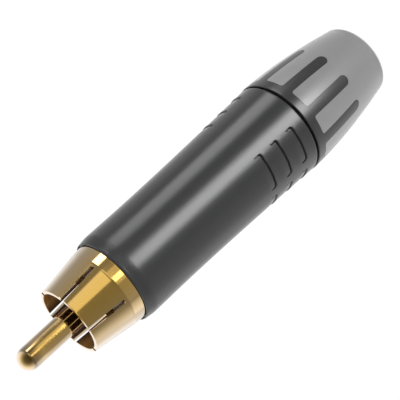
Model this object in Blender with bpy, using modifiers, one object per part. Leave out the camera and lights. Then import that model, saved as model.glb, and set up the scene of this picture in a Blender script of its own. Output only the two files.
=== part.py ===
"""An RCA (phono) cable plug, standing on the end of its boot.

The axis is +Z. Height zero is the flat end of the boot, where the cable goes in, and the
tip of the centre pin is the highest point. The front set of grip steps faces -Y.

Order along the axis, from the floor up: boot (rubber grip over a hard body), shell with
the chuck, the insulating sleeve and the clamped contact stack inside, collar with its six
spring petals, centre pin.
"""

import math

import bmesh
import bpy
from mathutils import Matrix, Vector

MM = 0.001
TAU = 2 * math.pi

# Room that pieces which touch or seat on each other keep between their faces
FIT = 0.30 * MM
# How far a cutter runs past the face that it goes through
OVERRUN = 1.0 * MM

# Lengths of what shows, from the boot's end to the tip of the pin
BOOT_LENGTH = 16.76 * MM
SHELL_LENGTH = 31.32 * MM
BAND_LENGTH = 1.59 * MM
PETAL_LENGTH = 5.73 * MM
PIN_REACH = 8.07 * MM

# Shell, outside: its waist, and what the nose loses and the skirt and lip gain on it
SHELL_WAIST_RADIUS = 6.25 * MM
NOSE_DROP = 0.15 * MM
SKIRT_FLARE = 0.65 * MM
LIP_FLARE = 0.17 * MM
NOSE_LENGTH = 1.20 * MM
WAIST_LENGTH = 6.13 * MM
LIP_LENGTH = 1.30 * MM
FLARE_POWER = 1.3

# Shell, inside: walls at the rear thread and at the chamber, web, front pilot bore
THREAD_WALL = 1.00 * MM
THREAD_DEPTH = 9.00 * MM
CHAMBER_WALL = 1.25 * MM
WEB_THICKNESS = 2.20 * MM
PILOT_DEPTH = 1.78 * MM
EDGE_BREAK = 0.25 * MM

# Grip steps in the shell: short wedges, deep at the rear, running out towards the front
GRIP_SETS = (28.5, 88.5, 208.5, 268.5)
GRIP_STEPS = 3
GRIP_SPAN = 46.0
GRIP_PITCH = 2.95 * MM
GRIP_LAND = 1.90 * MM
GRIP_RAMP = 1.10 * MM
GRIP_DEPTH = 0.26 * MM

# Collar: six petals, a band that seats on the shell's rim, a pilot and a threaded hub
MOUTH_BORE = 4.30 * MM
MOUTH_WALL = 0.487 * MM
BAND_INSET = 0.35 * MM
BAND_TAPER = 0.13 * MM
PETAL_STEP = 0.06 * MM
PETAL_ROOT_WALL = 0.71 * MM
PETALS = 6
SLOT_WIDTH = 0.43 * MM
SLOT_SHORT_OF_BAND = 0.38 * MM
SOCKET_WALL = 1.06 * MM
SOCKET_FLOOR_DEPTH = 7.30 * MM
HUB_RADIUS = 3.10 * MM
HUB_BORE = 2.40 * MM
HUB_PAST_NUT = 0.60 * MM

# Centre pin: contact, stem through both insulators, riveted flare, solder cup
PIN_RADIUS = 1.55 * MM
STEM_RADIUS = 1.10 * MM
FLARE_RADIUS = 1.90 * MM
FLARE_THICKNESS = 0.50 * MM
CUP_RADIUS = 1.35 * MM
CUP_BORE = 0.90 * MM
CUP_LENGTH = 4.50 * MM
CUP_DEPTH = 3.40 * MM
CUP_WINDOW = 2.20 * MM

# Insulators
HEAD_THICKNESS = 0.80 * MM
STEM_SPACE = 0.60 * MM
WASHER_RADIUS = 2.90 * MM
WASHER_THICKNESS = 0.80 * MM
WASHER_STEM_LENGTH = 1.90 * MM

# Solder tag: a ring clamped between the shell's web and the nut, with a bent tail
TAG_THICKNESS = 0.40 * MM
TAG_RING_INSET = 0.10 * MM
TAG_WIDTH = 2.20 * MM
TAG_TAIL_LENGTH = 9.60 * MM
TAG_SET = 0.90 * MM
TAG_HOLE_RADIUS = 0.55 * MM

# Clamp nut
NUT_THICKNESS = 1.80 * MM
NUT_ACROSS_FLATS = 8.00 * MM

# Insulating sleeve round the solder joints, from the tag's bend to the chuck
SLEEVE_WALL = 0.40 * MM

# Chuck: a keyed ring that slides in the shell and four slit jaws that the boot closes
CHUCK_RING_LENGTH = 3.00 * MM
CHUCK_SHOULDER = 0.40 * MM
CHUCK_LENGTH = 19.90 * MM
CHUCK_WALL = 0.90 * MM
CHUCK_RING_WALL = 1.00 * MM
JAW_SEAT_DEPTH = 7.46 * MM
JAW_CONE_LENGTH = 1.50 * MM
JAW_CONE_DROP = 0.40 * MM
JAW_SLITS = 2
JAW_SLIT_WIDTH = 0.70 * MM
JAW_SLIT_LENGTH = 12.50 * MM
TEETH = 3
TOOTH_PITCH = 1.30 * MM
TOOTH_HEIGHT = 0.30 * MM
KEY_WIDTH = 1.20 * MM
KEY_HEIGHT = 0.60 * MM
KEY_LENGTH = 2.40 * MM

# Boot, hard first shot: threaded spigot, ring and ten fingers on a tapered core
BOOT_STANDS_PROUD = 0.03 * MM
BOOT_TAPER = 1.79 * MM
BOOT_POWER = 1.7
BOOT_EDGE_FILLET = 1.00 * MM
THREAD_RUNOUT = 1.46 * MM
UNDERCUT_LENGTH = 1.10 * MM
UNDERCUT_DEPTH = 0.35 * MM
RING_LENGTH = 1.35 * MM
FINGERS = 10
FINGER_WIDTH = 1.56 * MM
FINGER_TIP = 7.07 * MM
FIRST_FINGER = 10.0
CABLE_HOLE_EASE = 0.10 * MM
CONE_LENGTH = 3.30 * MM

# Boot, soft second shot: thickness over the core, and the end wall round the cable hole
GRIP_THICKNESS = 1.00 * MM
END_WALL = 1.70 * MM

# Facets round each piece, and points along each curved stretch of an outline
SHELL_FACETS = 56
COLLAR_FACETS = 54
BOOT_FACETS = 54
CHUCK_FACETS = 40
SMALL_FACETS = 32
NOSE_POINTS = 4
FLARE_POINTS = 6
LIP_POINTS = 3
BOOT_POINTS = 7
FINGER_POINTS = 5
CORE_POINTS = 4
FINGER_FOOT_POINTS = 2
FINGER_TIP_POINTS = 5
GRIP_ARC_STEPS = 8
FILLET_POINTS = 4
TIP_POINTS = 7

# Radii that follow from the walls and from the pieces they run in
SHELL_RIM_RADIUS = SHELL_WAIST_RADIUS - NOSE_DROP
SHELL_SKIRT_RADIUS = SHELL_WAIST_RADIUS + SKIRT_FLARE
SHELL_LIP_RADIUS = SHELL_SKIRT_RADIUS + LIP_FLARE
THREAD_RADIUS = SHELL_SKIRT_RADIUS - THREAD_WALL
CHAMBER_RADIUS = SHELL_WAIST_RADIUS - CHAMBER_WALL
BAND_REAR_RADIUS = SHELL_RIM_RADIUS - BAND_INSET
BAND_FRONT_RADIUS = BAND_REAR_RADIUS - BAND_TAPER
PETAL_ROOT_RADIUS = BAND_FRONT_RADIUS - PETAL_STEP
PETAL_ROOT_BORE = PETAL_ROOT_RADIUS - PETAL_ROOT_WALL
MOUTH_RADIUS = MOUTH_BORE + MOUTH_WALL
SOCKET_BORE = PETAL_ROOT_RADIUS - SOCKET_WALL
PILOT_RADIUS = CHAMBER_RADIUS - FIT
TAIL_OUTER = CHAMBER_RADIUS - FIT
TAG_RING_RADIUS = TAIL_OUTER - TAG_RING_INSET
SLEEVE_RADIUS = CHAMBER_RADIUS - FIT
CHUCK_RING_RADIUS = CHAMBER_RADIUS - FIT
CHUCK_BODY_RADIUS = CHUCK_RING_RADIUS - CHUCK_SHOULDER
CHUCK_BORE = CHUCK_BODY_RADIUS - CHUCK_WALL
CHUCK_RING_BORE = CHUCK_RING_RADIUS - CHUCK_RING_WALL
JAW_END_RADIUS = CHUCK_BODY_RADIUS - JAW_CONE_DROP
KEY_RADIUS = CHUCK_RING_RADIUS + KEY_HEIGHT
SPIGOT_RADIUS = THREAD_RADIUS - FIT
SPIGOT_BORE = CHUCK_BODY_RADIUS + FIT
CABLE_RADIUS = CHUCK_BORE + CABLE_HOLE_EASE
BOOT_FRONT_RADIUS = SHELL_LIP_RADIUS + BOOT_STANDS_PROUD
BOOT_END_RADIUS = BOOT_FRONT_RADIUS - BOOT_TAPER

# Heights that follow from the lengths
SHELL_REAR = BOOT_LENGTH + FIT
SHELL_FRONT = SHELL_REAR + SHELL_LENGTH
BAND_REAR = SHELL_FRONT + FIT
BAND_FRONT = BAND_REAR + BAND_LENGTH
MOUTH = BAND_FRONT + PETAL_LENGTH
PIN_TIP = MOUTH + PIN_REACH
SOCKET_FLOOR = MOUTH - SOCKET_FLOOR_DEPTH
PILOT_SEAT = SHELL_FRONT - PILOT_DEPTH
WEB_REAR = PILOT_SEAT - WEB_THICKNESS
TAG_FRONT = WEB_REAR - FIT
TAG_REAR = TAG_FRONT - TAG_THICKNESS
NUT_FRONT = TAG_REAR - FIT
NUT_REAR = NUT_FRONT - NUT_THICKNESS
HUB_END = NUT_REAR - HUB_PAST_NUT
WASHER_FRONT = HUB_END - FIT
WASHER_REAR = WASHER_FRONT - WASHER_THICKNESS
FLARE_FRONT = WASHER_REAR - FIT
CUP_FRONT = FLARE_FRONT - FLARE_THICKNESS
CUP_REAR = CUP_FRONT - CUP_LENGTH
HEAD_REAR = SOCKET_FLOOR + FIT
HEAD_FRONT = HEAD_REAR + HEAD_THICKNESS
PIN_SHOULDER = HEAD_FRONT + FIT
TAIL_BEND = HUB_END
TAIL_END = TAG_FRONT - TAG_TAIL_LENGTH
CHUCK_REAR = BOOT_LENGTH - JAW_SEAT_DEPTH
CHUCK_FRONT = CHUCK_REAR + CHUCK_LENGTH
CONE_FRONT = CHUCK_REAR + JAW_CONE_LENGTH
SLEEVE_FRONT = TAIL_BEND - TAG_SET - FIT
SLEEVE_REAR = CHUCK_FRONT + FIT
THREAD_END = SHELL_REAR + THREAD_DEPTH
RING_REAR = BOOT_LENGTH - RING_LENGTH
GRIP_FRONT = RING_REAR - FIT
CORE_END = END_WALL + FIT
SPIGOT_FRONT = THREAD_END - THREAD_RUNOUT
WASHER_STEM_TOP = WASHER_FRONT + WASHER_STEM_LENGTH
FRONT_STEM_END = WASHER_STEM_TOP + STEM_SPACE


def remove_all_objects():
    for old in list(bpy.data.objects):
        bpy.data.objects.remove(old, do_unlink=True)


def new_collection(name):
    group = bpy.data.collections.new(name)
    bpy.context.scene.collection.children.link(group)
    return group


remove_all_objects()
PLUG = new_collection("rca_plug")
TOOLS = new_collection("cutters")


def material(name, colour, roughness, metallic=0.0):
    made = bpy.data.materials.new(name)
    made.use_nodes = True
    shader = made.node_tree.nodes["Principled BSDF"]
    shader.inputs["Base Color"].default_value = (*colour, 1.0)
    shader.inputs["Roughness"].default_value = roughness
    shader.inputs["Metallic"].default_value = metallic
    made.diffuse_color = (*colour, 1.0)
    return made


def new_object(name, mesh, group):
    made = bpy.data.objects.new(name, mesh)
    group.objects.link(made)
    if group is TOOLS:
        made.hide_render = True
        made.display_type = "WIRE"
    return made


def turned(name, profile, facets, group=PLUG):
    """A turned solid: (radius, height) points, down the outside and back up the inside."""
    bm = bmesh.new()
    points = [bm.verts.new((radius, 0, height)) for radius, height in profile]
    for start, end in zip(points, points[1:]):
        bm.edges.new((start, end))
    on_axis = profile[0][0] == 0 and profile[-1][0] == 0
    if not on_axis:
        bm.edges.new((points[-1], points[0]))
    mesh = bpy.data.meshes.new(name)
    bm.to_mesh(mesh)
    bm.free()
    made = new_object(name, mesh, group)
    screw = made.modifiers.new("turn", "SCREW")
    screw.axis = "Z"
    screw.angle = TAU
    screw.steps = facets
    screw.render_steps = facets
    screw.use_merge_vertices = True
    screw.merge_threshold = 0.00001
    screw.use_smooth_shade = False
    return made


def block(name, centre, size, turn=0.0, group=TOOLS):
    """A box of a given size, turned about the Z axis of the plug."""
    bm = bmesh.new()
    bmesh.ops.create_cube(bm, size=1.0)
    bmesh.ops.scale(bm, vec=size, verts=bm.verts)
    bmesh.ops.translate(bm, vec=centre, verts=bm.verts)
    bmesh.ops.rotate(bm, cent=(0, 0, 0), matrix=Matrix.Rotation(turn, 3, "Z"), verts=bm.verts)
    mesh = bpy.data.meshes.new(name)
    bm.to_mesh(mesh)
    bm.free()
    return new_object(name, mesh, group)


def extruded(name, outline, depth, place, group=TOOLS):
    """A flat outline in x and y, extruded by depth about its plane and set by a matrix."""
    curve = bpy.data.curves.new(name, "CURVE")
    curve.dimensions = "2D"
    curve.fill_mode = "BOTH"
    curve.extrude = depth / 2
    spline = curve.splines.new("POLY")
    spline.points.add(len(outline) - 1)
    for point, (x, y) in zip(spline.points, outline):
        point.co = (x, y, 0, 1)
    spline.use_cyclic_u = True
    drawn = bpy.data.objects.new(name + "_drawn", curve)
    TOOLS.objects.link(drawn)
    drawn.matrix_world = place
    bpy.context.view_layer.update()
    graph = bpy.context.evaluated_depsgraph_get()
    mesh = bpy.data.meshes.new_from_object(drawn.evaluated_get(graph))
    bm = bmesh.new()
    bm.from_mesh(mesh)
    bmesh.ops.remove_doubles(bm, verts=bm.verts, dist=0.000005)
    bmesh.ops.recalc_face_normals(bm, faces=bm.faces)
    bm.to_mesh(mesh)
    bm.free()
    made = new_object(name, mesh, group)
    made.matrix_world = place
    bpy.data.objects.remove(drawn)
    return made


def joined(name, pieces, group=TOOLS):
    """One cutter out of several that don't meet each other."""
    graph = bpy.context.evaluated_depsgraph_get()
    bpy.context.view_layer.update()
    bm = bmesh.new()
    for piece in pieces:
        mesh = bpy.data.meshes.new_from_object(piece.evaluated_get(graph))
        mesh.transform(piece.matrix_world)
        bm.from_mesh(mesh)
        bpy.data.meshes.remove(mesh)
        bpy.data.objects.remove(piece)
    mesh = bpy.data.meshes.new(name)
    bm.to_mesh(mesh)
    bm.free()
    return new_object(name, mesh, group)


def combine(target, tool, operation):
    step = target.modifiers.new(operation.lower() + "_" + tool.name, "BOOLEAN")
    step.operation = operation
    step.solver = "EXACT"
    step.object = tool


def settle(made, finish):
    """Apply the modifiers, shade the round faces smooth and give the piece its material."""
    bpy.context.view_layer.update()
    graph = bpy.context.evaluated_depsgraph_get()
    mesh = bpy.data.meshes.new_from_object(made.evaluated_get(graph))
    mesh.name = made.name
    made.modifiers.clear()
    made.data = mesh
    mesh.shade_smooth()
    mesh.set_sharp_from_angle(angle=math.radians(32))
    mesh.materials.clear()
    mesh.materials.append(finish)
    return made


def spread(count):
    """count + 1 even values from 0 to 1."""
    return [step / count for step in range(count + 1)]


def arc(centre_r, centre_z, radius_r, radius_z, start, end, steps):
    """Points on an elliptic arc in the (radius, height) plane, angles in degrees."""
    points = []
    for share in spread(steps):
        angle = math.radians(start + (end - start) * share)
        points.append((centre_r + radius_r * math.cos(angle), centre_z + radius_z * math.sin(angle)))
    return points


def shell_radius(height):
    """The shell's flare from its waist to the start of the rear lip."""
    start = SHELL_FRONT - NOSE_LENGTH - WAIST_LENGTH
    run = max(0.0, (start - height) / (start - SHELL_REAR))
    return SHELL_WAIST_RADIUS + (SHELL_SKIRT_RADIUS - SHELL_WAIST_RADIUS) * run ** FLARE_POWER


def boot_radius(height):
    """The boot's outline, widest at the seam with the shell."""
    run = (BOOT_LENGTH - height) / BOOT_LENGTH
    return BOOT_FRONT_RADIUS - (BOOT_FRONT_RADIUS - BOOT_END_RADIUS) * run ** BOOT_POWER


def core_radius(height):
    """The hard core under the rubber."""
    return boot_radius(height) - GRIP_THICKNESS - FIT


def inside_core(height):
    return core_radius(height) - FIT


def outside_core(height):
    return core_radius(height) + FIT


def shell_outside():
    nose = arc(SHELL_RIM_RADIUS, SHELL_FRONT - NOSE_LENGTH, SHELL_WAIST_RADIUS - SHELL_RIM_RADIUS,
               NOSE_LENGTH, 90, 0, NOSE_POINTS)
    flare_start = SHELL_FRONT - NOSE_LENGTH - WAIST_LENGTH
    lip_start = SHELL_REAR + LIP_LENGTH
    flare = []
    for share in spread(FLARE_POINTS):
        height = flare_start + (lip_start - flare_start) * share
        flare.append((shell_radius(height), height))
    lip = []
    for share in spread(LIP_POINTS)[1:]:
        height = lip_start - LIP_LENGTH * share
        raised = (SHELL_LIP_RADIUS - SHELL_SKIRT_RADIUS) * share ** 2
        lip.append((shell_radius(height) + raised, height))
    return nose + flare + lip


def make_shell(finish):
    inside = [
        (THREAD_RADIUS + EDGE_BREAK, SHELL_REAR),
        (THREAD_RADIUS, SHELL_REAR + EDGE_BREAK),
        (THREAD_RADIUS, THREAD_END),
        (CHAMBER_RADIUS, THREAD_END),
        (CHAMBER_RADIUS, WEB_REAR),
        (HUB_RADIUS + FIT, WEB_REAR),
        (HUB_RADIUS + FIT, PILOT_SEAT),
        (CHAMBER_RADIUS, PILOT_SEAT),
        (CHAMBER_RADIUS, SHELL_FRONT),
    ]
    shell = turned("shell", shell_outside() + inside, SHELL_FACETS)
    combine(shell, grip_step_cutter(), "DIFFERENCE")
    combine(shell, keyway_cutter(), "DIFFERENCE")
    return settle(shell, finish)


def grip_step_cutter():
    """Wedges swept round the axis, one for each step of each set."""
    bm = bmesh.new()
    for middle in GRIP_SETS:
        for step in range(GRIP_STEPS):
            wall = SHELL_REAR + GRIP_LAND + GRIP_PITCH * step
            outside = shell_radius(wall) + OVERRUN
            lead = shell_radius(wall + GRIP_RAMP)
            start = bm.verts.new((shell_radius(wall) - GRIP_DEPTH, 0, wall))
            rise = (lead - start.co.x) / GRIP_RAMP
            end = bm.verts.new((outside, 0, wall + (outside - start.co.x) / rise))
            corner = bm.verts.new((outside, 0, wall))
            face = bm.faces.new((start, corner, end))
            first = math.radians(-90 - middle - GRIP_SPAN / 2)
            piece = [start, end, corner] + list(face.edges) + [face]
            bmesh.ops.rotate(bm, cent=(0, 0, 0), matrix=Matrix.Rotation(first, 3, "Z"),
                             verts=[start, end, corner])
            bmesh.ops.spin(bm, geom=piece, cent=(0, 0, 0), axis=(0, 0, 1),
                           angle=math.radians(GRIP_SPAN), steps=GRIP_ARC_STEPS, use_duplicate=False)
    bmesh.ops.recalc_face_normals(bm, faces=bm.faces)
    mesh = bpy.data.meshes.new("grip_steps")
    bm.to_mesh(mesh)
    bm.free()
    return new_object("grip_steps", mesh, TOOLS)


def keyway_cutter():
    """Two grooves in the chamber wall that the chuck's keys slide in."""
    depth = KEY_RADIUS + FIT
    top = CHUCK_FRONT + FIT
    bottom = THREAD_END - OVERRUN
    size = (2 * depth, KEY_WIDTH + 2 * FIT, top - bottom)
    return block("keyways", (0, 0, (top + bottom) / 2), size)


def make_collar(finish):
    pilot_end = PILOT_SEAT + FIT
    profile = [
        (MOUTH_BORE + EDGE_BREAK / 2, MOUTH),
        (MOUTH_RADIUS - EDGE_BREAK / 2, MOUTH),
        (MOUTH_RADIUS, MOUTH - EDGE_BREAK / 2),
        (PETAL_ROOT_RADIUS, BAND_FRONT),
        (BAND_FRONT_RADIUS, BAND_FRONT - EDGE_BREAK / 2),
        (BAND_REAR_RADIUS, BAND_REAR),
        (PILOT_RADIUS, BAND_REAR),
        (PILOT_RADIUS, pilot_end),
        (HUB_RADIUS, pilot_end),
        (HUB_RADIUS, HUB_END + EDGE_BREAK),
        (HUB_RADIUS - EDGE_BREAK, HUB_END),
        (HUB_BORE, HUB_END),
        (HUB_BORE, SOCKET_FLOOR),
        (SOCKET_BORE, SOCKET_FLOOR),
        (SOCKET_BORE, BAND_FRONT - EDGE_BREAK),
        (PETAL_ROOT_BORE, BAND_FRONT + EDGE_BREAK),
        (MOUTH_BORE, MOUTH - EDGE_BREAK / 2),
    ]
    collar = turned("collar", profile, COLLAR_FACETS)
    floor = BAND_FRONT + SLOT_SHORT_OF_BAND
    height = MOUTH + OVERRUN - floor
    reach = 2 * (PETAL_ROOT_RADIUS + OVERRUN)
    for cut in range(PETALS // 2):
        turn = TAU * (cut + 0.5) / PETALS + TAU / 4
        slot = block("petal_slot_%d" % cut, (0, 0, floor + height / 2), (reach, SLOT_WIDTH, height), turn)
        combine(collar, slot, "DIFFERENCE")
    return settle(collar, finish)


def make_centre_pin(finish):
    tip = arc(0, PIN_TIP - PIN_RADIUS, PIN_RADIUS, PIN_RADIUS, 90, 0, TIP_POINTS)
    tip[0] = (0, PIN_TIP)
    profile = tip + [
        (PIN_RADIUS, PIN_SHOULDER),
        (STEM_RADIUS, PIN_SHOULDER),
        (STEM_RADIUS, FLARE_FRONT),
        (FLARE_RADIUS, FLARE_FRONT),
        (FLARE_RADIUS - EDGE_BREAK / 2, CUP_FRONT),
        (CUP_RADIUS, CUP_FRONT),
        (CUP_RADIUS, CUP_REAR),
        (CUP_BORE, CUP_REAR),
        (CUP_BORE, CUP_REAR + CUP_DEPTH),
        (0, CUP_REAR + CUP_DEPTH),
    ]
    pin = turned("centre_pin", profile, SMALL_FACETS)
    window_size = (2 * CUP_RADIUS, CUP_RADIUS + OVERRUN, CUP_WINDOW + OVERRUN)
    window_place = (0, (CUP_RADIUS + OVERRUN) / 2, CUP_REAR + (CUP_WINDOW - OVERRUN) / 2)
    combine(pin, block("cup_window", window_place, window_size), "DIFFERENCE")
    return settle(pin, finish)


def make_front_insulator(finish):
    head_radius = SOCKET_BORE - FIT
    stem_radius = HUB_BORE - FIT
    bore = STEM_RADIUS + FIT
    profile = [
        (head_radius - EDGE_BREAK / 2, HEAD_FRONT),
        (head_radius, HEAD_FRONT - EDGE_BREAK / 2),
        (head_radius, HEAD_REAR),
        (stem_radius, HEAD_REAR),
        (stem_radius, FRONT_STEM_END),
        (bore, FRONT_STEM_END),
        (bore, HEAD_FRONT),
    ]
    return settle(turned("front_insulator", profile, SMALL_FACETS), finish)


def make_rear_insulator(finish):
    stem_radius = HUB_BORE - FIT
    bore = STEM_RADIUS + FIT
    profile = [
        (stem_radius, WASHER_STEM_TOP),
        (stem_radius, WASHER_FRONT),
        (WASHER_RADIUS, WASHER_FRONT),
        (WASHER_RADIUS, WASHER_REAR + EDGE_BREAK / 2),
        (WASHER_RADIUS - EDGE_BREAK / 2, WASHER_REAR),
        (bore, WASHER_REAR),
        (bore, WASHER_STEM_TOP),
    ]
    return settle(turned("rear_insulator", profile, SMALL_FACETS), finish)


def make_ground_tag(finish):
    bore = HUB_RADIUS + FIT
    ring = turned("ground_tag", [
        (TAG_RING_RADIUS, TAG_FRONT),
        (TAG_RING_RADIUS, TAG_REAR),
        (bore, TAG_REAR),
        (bore, TAG_FRONT),
    ], SMALL_FACETS)
    inner = TAIL_OUTER - TAG_THICKNESS
    root = (bore + TAG_RING_RADIUS) / 2
    outline = [
        (root, TAG_FRONT),
        (TAIL_OUTER, TAG_FRONT),
        (TAIL_OUTER, TAIL_BEND),
        (TAIL_OUTER - TAG_SET, TAIL_BEND - TAG_SET),
        (TAIL_OUTER - TAG_SET, TAIL_END),
        (inner - TAG_SET, TAIL_END),
        (inner - TAG_SET, TAIL_BEND - TAG_SET),
        (inner, TAIL_BEND),
        (inner, TAG_REAR),
        (root, TAG_REAR),
    ]
    on_edge = Matrix.Rotation(TAU / 4, 4, "X")
    tail = extruded("tag_tail", outline, TAG_WIDTH, on_edge)
    combine(ring, tail, "UNION")
    hole = turned("tag_hole", [
        (0, OVERRUN * 2),
        (TAG_HOLE_RADIUS, OVERRUN * 2),
        (TAG_HOLE_RADIUS, -OVERRUN * 2),
        (0, -OVERRUN * 2),
    ], SMALL_FACETS // 2, TOOLS)
    hole.location = (TAIL_OUTER - TAG_SET, 0, TAIL_END + TAG_WIDTH / 2)
    hole.rotation_euler = (0, TAU / 4, 0)
    combine(ring, hole, "DIFFERENCE")
    return settle(ring, finish)


def make_clamp_nut(finish):
    """A thin hexagon nut, one flat of it towards the tag's tail."""
    corner = NUT_ACROSS_FLATS / 2 / math.cos(TAU / 12)
    middle = (NUT_FRONT + NUT_REAR) / 2
    bm = bmesh.new()
    bmesh.ops.create_cone(bm, cap_ends=True, segments=6, radius1=corner, radius2=corner,
                          depth=NUT_THICKNESS)
    bmesh.ops.translate(bm, vec=(0, 0, middle), verts=bm.verts)
    bmesh.ops.bevel(bm, geom=list(bm.edges), offset=EDGE_BREAK / 2, segments=1, affect="EDGES")
    mesh = bpy.data.meshes.new("clamp_nut")
    bm.to_mesh(mesh)
    bm.free()
    nut = new_object("clamp_nut", mesh, PLUG)
    bore = turned("nut_bore", [
        (0, NUT_FRONT + OVERRUN),
        (HUB_RADIUS + FIT, NUT_FRONT + OVERRUN),
        (HUB_RADIUS + FIT, NUT_REAR - OVERRUN),
        (0, NUT_REAR - OVERRUN),
    ], SMALL_FACETS, TOOLS)
    combine(nut, bore, "DIFFERENCE")
    return settle(nut, finish)


def make_liner_sleeve(finish):
    profile = [
        (SLEEVE_RADIUS, SLEEVE_FRONT),
        (SLEEVE_RADIUS, SLEEVE_REAR),
        (SLEEVE_RADIUS - SLEEVE_WALL, SLEEVE_REAR),
        (SLEEVE_RADIUS - SLEEVE_WALL, SLEEVE_FRONT),
    ]
    return settle(turned("liner_sleeve", profile, CHUCK_FACETS), finish)


def make_chuck(finish):
    ring_rear = CHUCK_FRONT - CHUCK_RING_LENGTH
    teeth = []
    for tooth in range(TEETH):
        foot = CHUCK_REAR + TOOTH_PITCH * (tooth + 0.5)
        teeth.append((CHUCK_BORE, foot - TOOTH_HEIGHT))
        teeth.append((CHUCK_BORE - TOOTH_HEIGHT, foot))
        teeth.append((CHUCK_BORE, foot + TOOTH_HEIGHT))
    profile = [
        (CHUCK_RING_RADIUS - EDGE_BREAK, CHUCK_FRONT),
        (CHUCK_RING_RADIUS, CHUCK_FRONT - EDGE_BREAK),
        (CHUCK_RING_RADIUS, ring_rear),
        (CHUCK_BODY_RADIUS, ring_rear),
        (CHUCK_BODY_RADIUS, CONE_FRONT),
        (JAW_END_RADIUS, CHUCK_REAR),
        (CHUCK_BORE, CHUCK_REAR),
    ] + teeth + [
        (CHUCK_BORE, ring_rear - EDGE_BREAK),
        (CHUCK_RING_BORE, ring_rear + EDGE_BREAK),
        (CHUCK_RING_BORE, CHUCK_FRONT),
    ]
    chuck = turned("chuck", profile, CHUCK_FACETS)
    height = JAW_SLIT_LENGTH + OVERRUN
    middle = CHUCK_REAR - OVERRUN + height / 2
    reach = 2 * (CHUCK_BODY_RADIUS + OVERRUN)
    for cut in range(JAW_SLITS):
        turn = TAU / 2 * (cut + 0.5) / JAW_SLITS
        slit = block("jaw_slit_%d" % cut, (0, 0, middle), (reach, JAW_SLIT_WIDTH, height), turn)
        combine(chuck, slit, "DIFFERENCE")
    root = CHUCK_RING_BORE + (CHUCK_RING_RADIUS - CHUCK_RING_BORE) / 2
    place = (root + KEY_RADIUS) / 2
    key_height = CHUCK_FRONT - EDGE_BREAK - KEY_LENGTH / 2
    for side in (0, 1):
        key = block("key_%d" % side, (place, 0, key_height),
                    (KEY_RADIUS - root, KEY_WIDTH, KEY_LENGTH), TAU / 2 * side)
        combine(chuck, key, "UNION")
    return settle(chuck, finish)


def finger_cutters(name, width, tip, front, reach):
    """Radial bars with a round end at their tip, one for each finger."""
    bars = []
    radius = width / 2
    for finger in range(FINGERS):
        angle = math.radians(-90 - FIRST_FINGER - 360 / FINGERS * finger)
        outline = [(radius, front), (-radius, front)]
        for share in spread(FINGER_TIP_POINTS):
            turn = math.pi * (1 + share)
            outline.append((radius * math.cos(turn), tip + radius + radius * math.sin(turn)))
        stand = Matrix.Rotation(angle + TAU / 4, 4, "Z") @ Matrix.Translation((0, -reach / 2, 0))
        bars.append(extruded("%s_%d" % (name, finger), outline, reach,
                             stand @ Matrix.Rotation(TAU / 4, 4, "X")))
    return joined(name, bars)


def boot_outline(top, bottom, radius_at, points):
    outline = []
    for share in spread(points):
        height = top + (bottom - top) * share
        outline.append((radius_at(height), height))
    return outline


def make_boot_body(finish):
    cone_bottom = CONE_FRONT - CONE_LENGTH
    seat_radius = SPIGOT_BORE - JAW_CONE_DROP
    spigot = [
        (SPIGOT_RADIUS - EDGE_BREAK, SPIGOT_FRONT),
        (SPIGOT_RADIUS, SPIGOT_FRONT - EDGE_BREAK),
        (SPIGOT_RADIUS, BOOT_LENGTH + UNDERCUT_LENGTH),
        (SPIGOT_RADIUS - UNDERCUT_DEPTH, BOOT_LENGTH + UNDERCUT_LENGTH - UNDERCUT_DEPTH),
        (SPIGOT_RADIUS - UNDERCUT_DEPTH, BOOT_LENGTH),
        (BOOT_FRONT_RADIUS - EDGE_BREAK / 2, BOOT_LENGTH),
    ]
    ring = boot_outline(BOOT_LENGTH - EDGE_BREAK / 2, RING_REAR, boot_radius, 1)
    core = boot_outline(RING_REAR, CORE_END, core_radius, CORE_POINTS)
    inside = [
        (CABLE_RADIUS, CORE_END),
        (CABLE_RADIUS, cone_bottom),
        (seat_radius, CHUCK_REAR),
        (SPIGOT_BORE, CONE_FRONT),
        (SPIGOT_BORE, SPIGOT_FRONT),
    ]
    body = turned("boot_body", spigot + ring + core + inside, BOOT_FACETS)
    finger_top = RING_REAR + RING_LENGTH / 2
    finger_foot = FINGER_TIP - FIT
    finger_face = boot_outline(finger_top, finger_foot, boot_radius, FINGER_POINTS)
    finger_root = boot_outline(finger_foot, finger_top, inside_core, FINGER_FOOT_POINTS)
    fingers = turned("fingers", finger_face + finger_root, BOOT_FACETS, TOOLS)
    bars = finger_cutters("finger_bars", FINGER_WIDTH, FINGER_TIP, BOOT_LENGTH, 2 * BOOT_FRONT_RADIUS)
    combine(fingers, bars, "INTERSECT")
    combine(body, fingers, "UNION")
    return settle(body, finish)


def make_boot_grip(finish):
    fillet = BOOT_EDGE_FILLET
    edge_radius = boot_radius(fillet)
    outside = boot_outline(GRIP_FRONT, fillet, boot_radius, BOOT_POINTS)
    edge = arc(edge_radius - fillet, fillet, fillet, fillet, 0, -90, FILLET_POINTS)[1:]
    inside = [(CABLE_RADIUS, 0), (CABLE_RADIUS, END_WALL)]
    sleeve = boot_outline(END_WALL, GRIP_FRONT, outside_core, CORE_POINTS)
    grip = turned("boot_grip", outside + edge + inside + sleeve, BOOT_FACETS)
    slots = finger_cutters("finger_slots", FINGER_WIDTH + 2 * FIT, FINGER_TIP - FIT,
                           BOOT_LENGTH, 2 * BOOT_FRONT_RADIUS)
    combine(grip, slots, "DIFFERENCE")
    return settle(grip, finish)


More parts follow.
